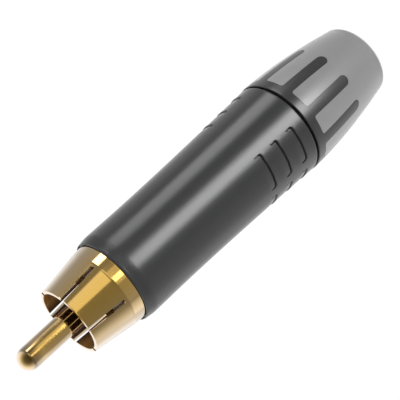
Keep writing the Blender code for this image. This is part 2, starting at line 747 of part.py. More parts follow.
gold = material("gold_plate", (0.83, 0.58, 0.25), 0.22, 1.0)
tinned = material("tinned_brass", (0.72, 0.70, 0.64), 0.35, 1.0)
grey_paint = material("satin_grey_paint", (0.060, 0.060, 0.062), 0.42, 0.35)
ivory = material("insulator_resin", (0.78, 0.76, 0.70), 0.50)
clear_film = material("sleeve_film", (0.70, 0.72, 0.72), 0.30)
chuck_resin = material("chuck_resin", (0.035, 0.035, 0.037), 0.45)
hard_grey = material("boot_resin", (0.070, 0.070, 0.072), 0.48)
soft_grey = material("boot_rubber", (0.30, 0.30, 0.30), 0.70)

make_shell(grey_paint)
make_collar(gold)
make_centre_pin(gold)
make_front_insulator(ivory)
make_rear_insulator(ivory)
make_ground_tag(tinned)
make_clamp_nut(tinned)
make_liner_sleeve(clear_film)

# What moves: the chuck slides along the axis, and the boot turns about it on the chuck
chuck_slide = bpy.data.objects.new("chuck_slide", None)
boot_turn = bpy.data.objects.new("boot_turn", None)
for empty, height in ((chuck_slide, CHUCK_FRONT), (boot_turn, BOOT_LENGTH)):
    PLUG.objects.link(empty)
    empty.empty_display_size = 2 * MM
    empty.location = Vector((0, 0, height))
boot_turn.parent = chuck_slide
boot_turn.matrix_parent_inverse = Matrix.Translation((0, 0, -CHUCK_FRONT))
bpy.context.view_layer.update()


def carried(made, empty):
    """Hang a piece on an empty and keep it where it was modelled."""
    made.parent = empty
    made.matrix_parent_inverse = empty.matrix_world.inverted()


carried(make_chuck(chuck_resin), chuck_slide)
carried(make_boot_body(hard_grey), boot_turn)
carried(make_boot_grip(soft_grey), boot_turn)
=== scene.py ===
import math

import bmesh
import bpy
from mathutils import Matrix, Vector


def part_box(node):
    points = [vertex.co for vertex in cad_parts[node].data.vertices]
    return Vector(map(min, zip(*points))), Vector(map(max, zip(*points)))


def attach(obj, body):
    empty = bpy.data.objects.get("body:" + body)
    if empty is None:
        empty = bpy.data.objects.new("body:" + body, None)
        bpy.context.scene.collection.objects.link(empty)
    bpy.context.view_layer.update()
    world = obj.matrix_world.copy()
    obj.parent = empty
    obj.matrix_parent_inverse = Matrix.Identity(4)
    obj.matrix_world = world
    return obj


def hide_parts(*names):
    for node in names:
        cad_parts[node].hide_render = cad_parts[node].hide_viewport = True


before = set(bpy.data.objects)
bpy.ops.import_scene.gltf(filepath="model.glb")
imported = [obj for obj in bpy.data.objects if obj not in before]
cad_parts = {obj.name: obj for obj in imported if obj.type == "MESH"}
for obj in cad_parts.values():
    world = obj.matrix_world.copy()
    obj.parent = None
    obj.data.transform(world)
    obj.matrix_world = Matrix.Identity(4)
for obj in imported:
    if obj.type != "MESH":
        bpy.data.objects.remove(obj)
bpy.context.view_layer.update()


# Centre contact: a pin turned from brass bar with a full round nose and plated with gold.
# Its stem runs back through both insulators to a riveted flare and the solder cup.

MM = 0.001
PIN_RADIUS = 1.55
PIN_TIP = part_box("centre_pin")[1].z / MM - 0.09
PIN_ROWS = (60.0, 56.0)
PIN_SHOULDER = 50.10
PIN_EDGE = 0.10
# Length of the browner ring painted on the nose as a dark reflection.
PAINTED_REFLECTION_LENGTH = 3.0
STEM_RADIUS = 1.10
FLARE_RADIUS = 1.90
FLARE_FRONT = 39.60
FLARE_REAR = 39.10
CUP_RADIUS = 1.35
CUP_BORE = 0.90
CUP_FLOOR = 38.00
CUP_REAR = 34.60
WINDOW_SIZE = (2.6, 2.4, 3.2)
WINDOW_CENTRE = (0, 1.2, 35.2)


class Wire:
    """A value in a material; the operators on it add the nodes of the sum."""

    def __init__(self, finish, socket):
        self.finish = finish
        self.socket = socket

    def out(self, name):
        return Wire(self.finish, self.socket.node.outputs[name])

    def maths(self, operation, first, second=0.0):
        return self.finish.node("Math", {"operation": operation}, {0: first, 1: second})

    def __add__(self, other):
        return self.maths("ADD", self, other)

    def __radd__(self, other):
        return self.maths("ADD", other, self)

    def __sub__(self, other):
        return self.maths("SUBTRACT", self, other)

    def __rsub__(self, other):
        return self.maths("SUBTRACT", other, self)

    def __mul__(self, other):
        return self.maths("MULTIPLY", self, other)

    def __rmul__(self, other):
        return self.maths("MULTIPLY", other, self)

    def __pow__(self, other):
        return self.maths("POWER", self, other)

    def __abs__(self):
        return self.maths("ABSOLUTE", self)

    def __lt__(self, other):
        return self.maths("LESS_THAN", self, other)

    def __gt__(self, other):
        return self.maths("GREATER_THAN", self, other)


class Finish:
    """The nodes of one finish, a material's or the world's."""

    def __init__(self, block, shader):
        block.use_nodes = True
        self.block = block
        self.tree = block.node_tree
        self.shader = self.tree.nodes[shader]

    def node(self, kind, settings=None, values=None):
        made = self.tree.nodes.new("ShaderNode" + kind)
        for setting, value in (settings or {}).items():
            setattr(made, setting, value)
        self.feed(made, values or {})
        return Wire(self, next(socket for socket in made.outputs if socket.enabled))

    def feed(self, node, values):
        for name, value in values.items():
            if isinstance(name, int):
                socket = node.inputs[name]
            else:
                socket = next(s for s in node.inputs if s.enabled and s.name == name)
            if isinstance(value, Wire):
                self.tree.links.new(value.socket, socket)
            else:
                socket.default_value = value

    def surface(self, **values):
        self.feed(self.shader, {name.replace("_", " "): value for name, value in values.items()})

    def place(self):
        """Where a point lies in the piece, in millimetres."""
        spot = self.node("TexCoord").out("Object")
        return self.node("VectorMath", {"operation": "SCALE"}, {"Vector": spot, "Scale": 1 / MM})

    def noise(self, scale, detail=2.0, roughness=0.5):
        """Mottling with features of one over scale millimetres."""
        return self.node("TexNoise", None, {"Vector": self.place(), "Scale": scale,
                                            "Detail": detail, "Roughness": roughness})

    def fade(self, value, low, high):
        """Softly from nothing at low to one at high; low may be the greater of the two."""
        return self.node("MapRange", {"interpolation_type": "SMOOTHSTEP"},
                         {"Value": value, "From Min": low, "From Max": high})

    def colours(self, share, first, second):
        ends = [end if isinstance(end, Wire) else (*end, 1.0) for end in (first, second)]
        return self.node("Mix", {"data_type": "RGBA"}, {"Factor": share, "A": ends[0], "B": ends[1]})

    def bumps(self, height, depth):
        """A relief that is depth millimetres high where the height is one."""
        return self.node("Bump", None, {"Height": height, "Strength": 1.0, "Distance": depth * MM})


def new_finish(name):
    return Finish(bpy.data.materials.new(name), "Principled BSDF")


def gold_plate(name, painted_reflection_from=None, inside=None):
    """Polished plating whose base colour pales towards its edges, a painted edge sheen. Above a
    height a browner ring is painted on as a dark reflection, and inside paints shade into its
    colour, gloss and metal in the bore of a hollow piece."""
    gold = new_finish(name)
    parts = gold.node("SeparateXYZ", None, {"Vector": gold.place()})
    east, north, height = parts.out("X"), parts.out("Y"), parts.out("Z")
    lathe_marks = gold.node("TexNoise", {"noise_dimensions": "1D"},
                            {"W": height, "Scale": 9.0, "Detail": 3.0, "Roughness": 0.6})
    haze = gold.noise(0.45, 3.0)
    facing = gold.node("LayerWeight", None, {"Blend": 0.5}).out("Facing")
    yellow = gold.colours(haze, (0.95, 0.58, 0.125), (0.98, 0.62, 0.150))
    # Near the nose a browner ring is painted into the colour: a painted dark reflection.
    if painted_reflection_from:
        painted_reflection_share = gold.fade(height, painted_reflection_from, painted_reflection_from + 1.5)
        end = gold.fade(height, painted_reflection_from + 2.5, painted_reflection_from + 1.7)
        yellow = gold.colours(painted_reflection_share * end, yellow, (0.46, 0.28, 0.075))
    # Paler base colour where the surface turns edge-on is a painted edge sheen.
    tint = gold.colours(facing, yellow, (0.99, 0.96, 0.93))
    gloss = 0.05 + 0.04 * haze + 0.03 * lathe_marks
    metal = 1.0
    # In a hollow piece, inside paints shade into the bore's colour, gloss and metal.
    if inside:
        tint, gloss, metal = inside(gold, (east, north, height), tint, gloss, metal)
    gold.surface(
        Base_Color=tint,
        Roughness=gloss,
        Metallic=metal,
        Normal=gold.bumps(lathe_marks, 0.0005),
    )
    return gold.block


def placed(name, bm):
    """Make an object of a mesh in progress."""
    mesh = bpy.data.meshes.new(name)
    bm.to_mesh(mesh)
    bm.free()
    made = bpy.data.objects.new(name, mesh)
    bpy.context.scene.collection.objects.link(made)
    return made


def even_angles(count):
    return [2 * math.pi * step / count for step in range(count)]


def turned(name, outline, angles, relief=None):
    """A turned body. The outline is (radius, height) in millimetres, down the outside and
    back up the inside; relief moves the surface out by millimetres at a row, angle and height."""
    bm = bmesh.new()
    rings = []
    for row, (radius, height) in enumerate(outline):
        if radius == 0:
            rings.append([bm.verts.new((0, 0, height * MM))] * len(angles))
            continue
        ring = []
        for angle in angles:
            far = radius + (relief(row, angle, height) if relief else 0.0)
            ring.append(bm.verts.new((far * math.cos(angle) * MM, far * math.sin(angle) * MM,
                                      height * MM)))
        rings.append(ring)
    pairs = list(zip(rings, rings[1:]))
    if outline[0][0] > 0 and outline[-1][0] > 0:
        pairs.append((rings[-1], rings[0]))
    for upper, lower in pairs:
        for step in range(len(angles)):
            after = (step + 1) % len(angles)
            corners = [upper[step], lower[step], lower[after], upper[after]]
            face = list(dict.fromkeys(corners))
            if len(face) > 2:
                bm.faces.new(face)
    bmesh.ops.recalc_face_normals(bm, faces=bm.faces)
    return placed(name, bm)


def arc(centre_radius, centre_height, radius, start, end, steps, stretch=1.0):
    """Points on an arc of the outline, angles in degrees from straight out towards up."""
    points = []
    for step in range(steps + 1):
        angle = math.radians(start + (end - start) * step / steps)
        points.append((centre_radius + radius * math.cos(angle),
                       centre_height + radius * stretch * math.sin(angle)))
    return points


def fitted(piece, finish, body, slot, *nodes, sharp=34.0):
    """Shade a piece, give it its finish and hang it on its body in place of the plain solids."""
    piece.data.shade_smooth()
    piece.data.set_sharp_from_angle(angle=math.radians(sharp))
    piece.data.materials.clear()
    piece.data.materials.append(finish)
    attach(piece, body)
    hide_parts(*nodes)


pin_outline = [(0, PIN_TIP)] + arc(0, PIN_TIP - PIN_RADIUS, PIN_RADIUS, 86, 0, 16)
pin_outline += [(PIN_RADIUS, height) for height in (*PIN_ROWS, PIN_SHOULDER + PIN_EDGE)]
pin_outline += [(PIN_RADIUS - PIN_EDGE, PIN_SHOULDER), (STEM_RADIUS, PIN_SHOULDER)]
pin_outline += [(STEM_RADIUS, FLARE_FRONT), (FLARE_RADIUS - 0.04, FLARE_FRONT)]
pin_outline += [(FLARE_RADIUS, FLARE_FRONT - 0.08), (FLARE_RADIUS - 0.10, FLARE_REAR + 0.04)]
pin_outline += [(CUP_RADIUS, FLARE_REAR), (CUP_RADIUS, CUP_REAR + 0.08)]
pin_outline += [(CUP_RADIUS - 0.07, CUP_REAR), (CUP_BORE + 0.04, CUP_REAR)]
pin_outline += [(CUP_BORE, CUP_REAR + 0.06), (CUP_BORE, CUP_FLOOR), (0, CUP_FLOOR)]
pin = turned("centre_pin_turned", pin_outline, even_angles(96))


def cut(piece, tool):
    """Take a tool's shape out of a piece, and the tool away."""
    step = piece.modifiers.new("cut", "BOOLEAN")
    step.operation = "DIFFERENCE"
    step.solver = "EXACT"
    step.object = tool
    bpy.context.view_layer.update()
    graph = bpy.context.evaluated_depsgraph_get()
    mesh = bpy.data.meshes.new_from_object(piece.evaluated_get(graph))
    piece.modifiers.clear()
    piece.data = mesh
    bpy.data.objects.remove(tool)


def slab(name, centre, size, turn=0.0):
    """A straight-sided tool, its centre and size in millimetres, turned about the axis."""
    bm = bmesh.new()
    bmesh.ops.create_cube(bm, size=1.0)
    bmesh.ops.scale(bm, vec=[side * MM for side in size], verts=bm.verts)
    bmesh.ops.translate(bm, vec=[part * MM for part in centre], verts=bm.verts)
    bmesh.ops.rotate(bm, cent=(0, 0, 0), matrix=Matrix.Rotation(turn, 3, "Z"), verts=bm.verts)
    return placed(name, bm)


cut(pin, slab("cup_window", WINDOW_CENTRE, WINDOW_SIZE))
# The browner ring near the pin's nose is a painted dark reflection.
fitted(pin, gold_plate("pin_gold", painted_reflection_from=PIN_TIP - PAINTED_REFLECTION_LENGTH), "root", "gold_plate",
       "centre_pin")


# Collar: the ground contact, turned from brass in one piece and gold plated. Three cross cuts
# leave six petals that spring on a jack; its band seats on the shell, its hub goes through it.

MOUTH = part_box("collar")[1].z / MM
MOUTH_RADIUS = 4.79
MOUTH_BORE = 4.30
PETAL_RADIUS = 5.20
PETAL_BORE = 4.57
ROOT_RADIUS = 5.61
ROOT_BORE = 4.85
BAND_FRONT = 50.27
BAND_FRONT_RADIUS = 5.660
BAND_REAR = 48.70
BAND_REAR_RADIUS = 5.787
PILOT_RADIUS = 4.70
PILOT_REAR = 46.90
HUB_RADIUS = 3.10
HUB_BORE = 2.40
HUB_REAR = 41.00
SOCKET_BORE = 4.50
SOCKET_FLOOR = 48.71
PETALS = 6
SLOT_WIDTH = 0.55
SLOT_TURN = math.radians(0.85)
SLOT_END = 50.65
ROUND_STEPS = 216
LIP_LENGTH = 0.15


def painted_bore_shade(gold, place, tint, gloss, metal):
    """Painted shade in the bore: inside a cone through the middle of the petals the gold is painted
    brown, less glossy and less metal, paler on the flanks near the mouth and darker deeper in. The
    front petals are painted darkest, and behind their lip their cut faces are painted brown too."""
    east, north, height = place
    away = (east * east + north * north) ** 0.5
    middle = 4.37 + (MOUTH - height) * 0.10
    front = north < -1.0
    # Where the painted shade of the bore lies.
    inside = away < middle + 0.32 * front * (height < MOUTH - LIP_LENGTH)
    flank = gold.fade(abs(east), 2.4, 3.5)
    shallow = gold.fade(height, MOUTH - 4.2, MOUTH - 2.6)
    brown = gold.colours(flank * shallow, (0.15, 0.08, 0.04), (0.50, 0.28, 0.10))
    dark = gold.colours(away > middle, (0.035, 0.022, 0.016), (0.24, 0.12, 0.05))
    brown = gold.colours(front, brown, dark)
    return gold.colours(inside, tint, brown), gloss + 0.20 * inside, metal - 0.50 * inside


petal_outline = [(MOUTH_BORE + 0.03, MOUTH), (MOUTH_RADIUS - 0.025, MOUTH)]
petal_outline += [(MOUTH_RADIUS - 0.003, 55.98), (MOUTH_RADIUS, 55.94)]
petal_outline += [(MOUTH_RADIUS + 0.01, 55.86), (PETAL_RADIUS, 53.10)]
petal_outline += [(ROOT_RADIUS - 0.016, 50.505), (ROOT_RADIUS, 50.40)]
band_outline = [(BAND_FRONT_RADIUS - 0.012, BAND_FRONT), (BAND_FRONT_RADIUS, BAND_FRONT - 0.10)]
band_outline += [(BAND_REAR_RADIUS - 0.015, BAND_REAR + 0.15)]
band_outline += [(BAND_REAR_RADIUS - 0.003, BAND_REAR + 0.04)]
band_outline += [(BAND_REAR_RADIUS, BAND_REAR + 0.015), (BAND_REAR_RADIUS - 0.013, BAND_REAR)]
hub_outline = [(PILOT_RADIUS + 0.02, BAND_REAR), (PILOT_RADIUS, PILOT_REAR)]
hub_outline += [(HUB_RADIUS, PILOT_REAR), (HUB_RADIUS, HUB_REAR + 0.20)]
hub_outline += [(HUB_RADIUS - 0.15, HUB_REAR), (HUB_BORE, HUB_REAR)]
socket_outline = [(HUB_BORE, SOCKET_FLOOR), (SOCKET_BORE - 0.02, SOCKET_FLOOR)]
socket_outline += [(SOCKET_BORE, SOCKET_FLOOR + 0.04), (SOCKET_BORE, 50.00)]
socket_outline += [(ROOT_BORE, 50.50), (PETAL_BORE, 53.20), (MOUTH_BORE + 0.01, 55.85)]
socket_outline += [(MOUTH_BORE, 55.95), (MOUTH_BORE + 0.01, 55.985)]
collar = turned("collar_petals", petal_outline + band_outline + hub_outline + socket_outline,
                even_angles(ROUND_STEPS))
for crossing in range(PETALS // 2):
    height = MOUTH + 1.0 - SLOT_END
    cut(collar, slab("petal_slot", (0, 0, SLOT_END + height / 2), (14.0, SLOT_WIDTH, height),
                     2 * math.pi * (crossing + 0.5) / PETALS + math.pi / 2 + SLOT_TURN))
# The brown and dark inside of the collar's bore is painted shade.
fitted(collar, gold_plate("collar_gold", inside=painted_bore_shade), "root", "gold_plate", "collar")


# Insulators: two ivory moulded bushes, pressed into the collar's hub from each end. They hold
# the pin on the axis and keep its riveted flare off the hub.

def ivory_resin():
    ivory = new_finish("insulator_ivory")
    grain = ivory.noise(7.0, 4.0)
    flow = ivory.noise(0.6, 2.0)
    ivory.surface(
        Base_Color=ivory.colours(flow, (0.52, 0.49, 0.42), (0.60, 0.57, 0.49)),
        Roughness=0.42 + 0.16 * grain,
        Metallic=0.0,
        Normal=ivory.bumps(grain, 0.006),
    )
    return ivory.block


INSULATOR = ivory_resin()
for node in ("front_insulator", "rear_insulator"):
    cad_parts[node].material_slots[0].material = INSULATOR


# Ground tag and clamp nut: a tag stamped from sheet brass and a thin hexagon nut, both tinned
# for soldering. The nut on the hub clamps the tag against the shell's web.

def tinned_brass():
    tin = new_finish("tinned_brass")
    spot = tin.node("VectorMath", {"operation": "MULTIPLY"}, {0: tin.place(), 1: (1.0, 9.0, 1.0)})
    rolled = tin.node("TexNoise", None, {"Vector": spot, "Scale": 1.6, "Detail": 4.0})
    clouds = tin.noise(0.9, 3.0)
    tin.surface(
        Base_Color=tin.colours(clouds, (0.66, 0.64, 0.59), (0.80, 0.79, 0.75)),
        Roughness=0.26 + 0.20 * rolled,
        Metallic=1.0,
        Normal=tin.bumps(rolled, 0.004),
    )
    return tin.block


TINNED = tinned_brass()
for node in ("ground_tag", "clamp_nut"):
    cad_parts[node].material_slots[0].material = TINNED


# Shell: the handle, cast in zinc, bored and threaded at the rear and sprayed with a satin grey
# paint. Four sets of three wedge-shaped steps near its rear end give the fingers a hold.

SHELL_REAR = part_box("shell")[0].z / MM - 0.07
SHELL_FRONT = BAND_REAR - 0.01
WAIST_RADIUS = 6.28
NOSE_SLOPE = 9.0
NOSE_LENGTH = 1.74
NOSE_TURN = 0.80
NOSE_CORNER = (0.17, 0.34)
GAP_DEPTH = 0.24
SKIRT_FLARE = 0.72
FLARE_START = 42.5
FLARE_POWER = 1.55
GRIP_SETS = (29.3, 89.3, 209.3, 269.3)
GRIP_WALLS = (18.87, 21.82, 24.77)
GRIP_REACH = 2.79
GRIP_DEPTH = 0.11
GRIP_RAMP = 1.12
GRIP_CORNERS = (0.55, 0.30)
LINE_DEPTH = 0.36
LINE_WIDTH = 0.24
BROW_RISE = 0.055
BROW_LENGTH = 0.85
LIP_BORE = 6.87
LIP_EDGE = 0.04
THREAD_BORE = 5.90
THREAD_DEPTH = 0.42
THREAD_PITCH = 1.50
THREAD_STEP = 0.125
THREAD_STEPS = 69
THREAD_REAR = 17.30
THREAD_FRONT = 26.06
CHAMBER_BORE = 5.00
WEB_BORE = 3.40
WEB_REAR = 44.40
WEB_FRONT = 46.60
KEYWAY_SIZE = (1.2, 1.8, 3.2)
KEYWAY_REACH = 5.4
KEYWAY_MIDDLE = 27.8


def shell_radius(height):
    run = max(0.0, (FLARE_START - height) / (FLARE_START - SHELL_REAR))
    return WAIST_RADIUS + SKIRT_FLARE * run ** FLARE_POWER


def ramp(low, high, value):
    share = min(1.0, max(0.0, (value - low) / (high - low)))
    return share * share * (3 - 2 * share)


def from_front(angle):
    """Degrees from the front of the plug, towards its left, for an angle about the axis."""
    return (-90.0 - math.degrees(angle)) % 360.0


def grip_sink(angle, height):
    """How deep the grip steps go in at a point of the shell, less than nothing on their brows."""
    for wall in GRIP_WALLS:
        up = height - wall
        if not -BROW_LENGTH < up < GRIP_RAMP:
            continue
        for middle in GRIP_SETS:
            off = (from_front(angle) - middle + 180.0) % 360.0 - 180.0
            arm = shell_radius(wall) * math.radians(off)
            if abs(arm) > GRIP_REACH:
                continue
            if up < 0.0:
                return -BROW_RISE * (1.0 + up / BROW_LENGTH) * (1.0 - (arm / GRIP_REACH) ** 2)
            corner = GRIP_CORNERS[(arm < 0.0) == (middle < 180.0)]
            across = abs(arm) - (GRIP_REACH - corner)
            along = corner - up
            inside = corner - math.hypot(max(across, 0.0), max(along, 0.0))
            inside -= min(max(across, along), 0.0)
            wedge = GRIP_DEPTH * (1.0 - up / GRIP_RAMP) * ramp(0.0, 0.04, inside)
            line = ramp(0.0, 0.05, inside) * (1.0 - ramp(LINE_WIDTH - 0.06, LINE_WIDTH, inside))
            return wedge + LINE_DEPTH * line * (1.0 - ramp(0.85, 1.05, up))
    return 0.0


def thread_ridge(angle, height):
    """A right-hand thread, from nothing in its groove to one on its crest."""
    turn = (height / THREAD_PITCH - angle / (2 * math.pi)) % 1.0
    return min(1.0, max(0.0, 1.5 - abs(turn - 0.5) * 5.0))


def outside_rows():
    """Down the shell: a blunt corner, a cone, a turn into the waist, and the flared skirt."""
    slope = math.radians(NOSE_SLOPE)
    turn = NOSE_TURN / math.sin(slope)
    nose = arc(WAIST_RADIUS - turn, SHELL_FRONT - NOSE_LENGTH, turn, NOSE_SLOPE, 0, 10)
    cone_radius, cone_height = nose[0]
    in_by, down_by = NOSE_CORNER
    drop = SHELL_FRONT - down_by - cone_height
    nose = [(cone_radius - drop * math.tan(slope) * share, cone_height + drop * share)
            for share in (1.0, 0.75, 0.5, 0.25)] + nose
    nose = arc(nose[0][0] - in_by, SHELL_FRONT - down_by, in_by, 88, 6, 9, down_by / in_by) + nose
    heights = [45.6, 44.2, FLARE_START, 41.0, 39.6, 38.0, 36.4, 34.8, 33.2, 31.6, 30.0, 28.6, 27.3,
               26.4]
    for wall in GRIP_WALLS:
        heights += [wall + up for up in (1.16, 1.06)]
        heights += [wall + 0.98 - 0.08 * step for step in range(7)]
        heights += [wall + 0.44 - 0.04 * step for step in range(6)]
        heights += [wall + 0.20 - 0.02 * step for step in range(11)]
        heights += [wall - down for down in (0.02, 0.2, 0.4, 0.6, BROW_LENGTH, 1.1)]
    heights += [17.50, 17.20]
    heights = sorted(set(round(height, 4) for height in heights), reverse=True)
    return nose + [(shell_radius(height), height) for height in heights]


def shell_angles():
    """Angles about the axis, close together where the grip steps have their ends."""
    marks = set()
    for middle in GRIP_SETS:
        for side in (-1, 1):
            marks.update(middle + side * (19.0 + 0.24 * step) for step in range(25))
        marks.update(middle + 1.9 * step for step in range(-9, 10))
    marks.update(step * 2.0 for step in range(180)
                 if all(abs((step * 2.0 - m + 180) % 360 - 180) > 25.6 for m in GRIP_SETS))
    wrapped = sorted(set(round(mark % 360.0, 3) for mark in marks))
    return [math.radians(-90.0 - mark) for mark in reversed(wrapped)]


shell_outside = outside_rows()
lip_rows = arc(shell_radius(SHELL_REAR) - LIP_EDGE, SHELL_REAR + LIP_EDGE, LIP_EDGE, -15, -90, 5)
lip_rows += [(LIP_BORE, SHELL_REAR), (LIP_BORE - 0.01, SHELL_REAR + 0.02)]
lip_rows += [(LIP_BORE - 0.03, THREAD_REAR - 0.02), (THREAD_BORE, THREAD_REAR)]
thread_rows = [(THREAD_BORE, THREAD_REAR + 0.1 + THREAD_STEP * step)
               for step in range(THREAD_STEPS)]
gap_floor = SHELL_FRONT - GAP_DEPTH
rim_radius = shell_outside[0][0]
chamber_rows = [(THREAD_BORE, THREAD_FRONT), (CHAMBER_BORE, THREAD_FRONT)]
chamber_rows += [(CHAMBER_BORE, WEB_REAR), (WEB_BORE, WEB_REAR), (WEB_BORE, WEB_FRONT)]
chamber_rows += [(CHAMBER_BORE, WEB_FRONT), (CHAMBER_BORE, gap_floor - 0.05)]
chamber_rows += [(CHAMBER_BORE + 0.05, gap_floor), (rim_radius - 0.05, gap_floor)]
chamber_rows += [(rim_radius - 0.01, SHELL_FRONT - 0.01)]
first_thread_row = len(shell_outside + lip_rows)


def shell_relief(row, angle, height):
    if row < len(shell_outside):
        return -grip_sink(angle, height)
    if first_thread_row <= row < first_thread_row + THREAD_STEPS:
        runs = ramp(THREAD_REAR + 0.2, THREAD_REAR + 1.3, height)
        return -THREAD_DEPTH * (1 - thread_ridge(angle, height)) * runs
    return 0.0


def satin_paint():
    paint = new_finish("satin_grey_paint")
    peel = paint.noise(3.2, 3.0)
    speck = paint.noise(16.0, 2.0, 0.7)
    paint.surface(
        Base_Color=paint.colours(speck, (0.036, 0.036, 0.037), (0.052, 0.052, 0.053)),
        Roughness=0.20 + 0.05 * peel + 0.04 * speck,
        Metallic=0.0,
        Normal=paint.bumps(peel + 0.4 * speck, 0.0035),
    )
    return paint.block


shell = turned("shell_cast", shell_outside + lip_rows + thread_rows + chamber_rows,
               shell_angles(), shell_relief)
for side in (1, -1):
    cut(shell, slab("keyway", (KEYWAY_REACH * side, 0, KEYWAY_MIDDLE), KEYWAY_SIZE))
fitted(shell, satin_paint(), "root", "shell_paint", "shell", sharp=55.0)


# Liner sleeve: a length of milky insulating film tube, slid in over the solder joints so that
# they can't touch the shell.

def milky_film():
    film = new_finish("sleeve_film")
    clouds = film.noise(0.5, 3.0)
    film.surface(
        Base_Color=film.colours(clouds, (0.62, 0.64, 0.64), (0.72, 0.73, 0.72)),
        Roughness=0.24 + 0.12 * clouds,
        Metallic=0.0,
        Normal=film.bumps(clouds, 0.02),
    )
    return film.block


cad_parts["liner_sleeve"].material_slots[0].material = milky_film()


# Chuck: the strain relief, moulded in tough black nylon. Two keys stop it turning in the shell
# while the boot's cone closes its four toothed jaws on the cable.

def tough_nylon():
    nylon = new_finish("chuck_nylon")
    grain = nylon.noise(5.0, 4.0)
    flow = nylon.noise(0.5, 2.0)
    nylon.surface(
        Base_Color=nylon.colours(flow, (0.026, 0.026, 0.028), (0.040, 0.040, 0.042)),
        Roughness=0.36 + 0.18 * grain,
        Metallic=0.0,
        Normal=nylon.bumps(grain, 0.01),
    )
    return nylon.block


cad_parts["chuck"].material_slots[0].material = tough_nylon()


# Boot body: the first shot of the boot, moulded in hard grey resin. Its threaded spigot screws
# into the shell, its ring closes the seam, and ten fingers run down a core under the rubber.

BOOT_LENGTH = 16.76
BOOT_FRONT = 16.60
BOOT_RADIUS = 7.085
BOOT_TAPER = 1.79
BOOT_POWER = 1.835
CORE_DEPTH = 1.15
CORE_REAR = 2.00
RING_REAR = 15.27
RING_EDGE = 0.11
RING_BORE = 6.90
FINGERS = 10
FINGER_WIDTH = 1.56
FINGER_TIP = 7.19
FIRST_FINGER = 9.8
ROOT_FILLET = 0.42
SPIGOT_FRONT = 24.60
SPIGOT_REAR = 17.40
SPIGOT_CREST = 5.60
SPIGOT_GROOVE = 0.38
SPIGOT_STEPS = 55
SPIGOT_BORE = 4.60
NECK_RADIUS = 5.15
NECK_REAR = 16.10
CONE_FRONT = 10.80
CONE_REAR = 7.50
CABLE_HOLE = 3.50
TONGUE_REAR = 5.0
TOOL_START = 3.0
TOOL_END = 9.0


def boot_radius(height):
    return BOOT_RADIUS - BOOT_TAPER * ((BOOT_LENGTH - height) / BOOT_LENGTH) ** BOOT_POWER


def core_radius(height):
    return boot_radius(height) - CORE_DEPTH


def finger_outline(grow):
    """Half-width and height of a finger down one side: fillet at its root, then a round tip."""
    half = FINGER_WIDTH / 2 + grow
    fillet = ROOT_FILLET - grow
    side = [(half + fillet, BOOT_FRONT + 0.5), (half + fillet, RING_REAR)]
    side += arc(half + fillet, RING_REAR - fillet, fillet, 90, 180, 8)[1:]
    return side + arc(0, FINGER_TIP + FINGER_WIDTH / 2, half, 0, -90, 12)


def finger_bars(grow):
    """Radial bars with a finger's outline, as one tool."""
    side = finger_outline(grow)
    outline = side + [(-x, z) for x, z in reversed(side[:-1])]
    bm = bmesh.new()
    for finger in range(FINGERS):
        middle = math.radians(-90 - FIRST_FINGER - 360 / FINGERS * finger)
        out = Vector((math.cos(middle), math.sin(middle), 0))
        across = Vector((-math.sin(middle), math.cos(middle), 0))
        near, far = ([bm.verts.new((out * reach + across * x + Vector((0, 0, z))) * MM)
                      for x, z in outline] for reach in (TOOL_START, TOOL_END))
        bm.faces.new(near)
        bm.faces.new(list(reversed(far)))
        for step in range(len(outline)):
            after = (step + 1) % len(outline)
            bm.faces.new((near[step], far[step], far[after], near[after]))
    bmesh.ops.recalc_face_normals(bm, faces=bm.faces)
    return placed("finger_bars", bm)


def even_heights(top, bottom, steps):
    return [top + (bottom - top) * step / steps for step in range(steps + 1)]


def boot_resin():
    resin = new_finish("boot_resin")
    grain = resin.noise(6.0, 3.0)
    flow = resin.noise(0.35, 2.0)
    resin.surface(
        Base_Color=resin.colours(flow, (0.041, 0.041, 0.042), (0.053, 0.053, 0.054)),
        Roughness=0.22 + 0.06 * grain,
        Metallic=0.0,
        Specular_IOR_Level=0.52,
        Normal=resin.bumps(grain, 0.004),
    )
    return resin.block


spigot_end = [(SPIGOT_CREST - 0.45, SPIGOT_FRONT), (SPIGOT_CREST - 0.38, SPIGOT_FRONT - 0.08)]
spigot_rows = [(SPIGOT_CREST, SPIGOT_FRONT - 0.15 - THREAD_STEP * step)
               for step in range(SPIGOT_STEPS)]
ring_rows = [(NECK_RADIUS, 17.55), (NECK_RADIUS, NECK_REAR), (RING_BORE, NECK_REAR)]
ring_rows += [(RING_BORE + 0.02, BOOT_FRONT - 0.01), (RING_BORE + 0.03, BOOT_FRONT)]
ring_rows += arc(BOOT_RADIUS - RING_EDGE, BOOT_FRONT - RING_EDGE, RING_EDGE, 86, 0, 7)
finger_rows = [(boot_radius(height), height) for height in even_heights(16.2, 6.6, 22)]
core_rows = [(core_radius(height), height) for height in even_heights(6.6, CORE_REAR, 6)]
bore_rows = [(CABLE_HOLE, CORE_REAR), (CABLE_HOLE, CONE_REAR), (4.20, 9.30)]
bore_rows += [(SPIGOT_BORE, CONE_FRONT), (SPIGOT_BORE, SPIGOT_FRONT - 0.10)]


def spigot_relief(row, angle, height):
    """Cuts the thread, whose ridge runs out at both ends."""
    if len(spigot_end) <= row < len(spigot_end) + SPIGOT_STEPS:
        runs = ramp(SPIGOT_REAR, SPIGOT_REAR + 1.0, height)
        runs *= 1.0 - ramp(SPIGOT_FRONT - 1.0, SPIGOT_FRONT, height)
        return -SPIGOT_GROOVE * (1 - thread_ridge(angle, height) * runs)
    return 0.0


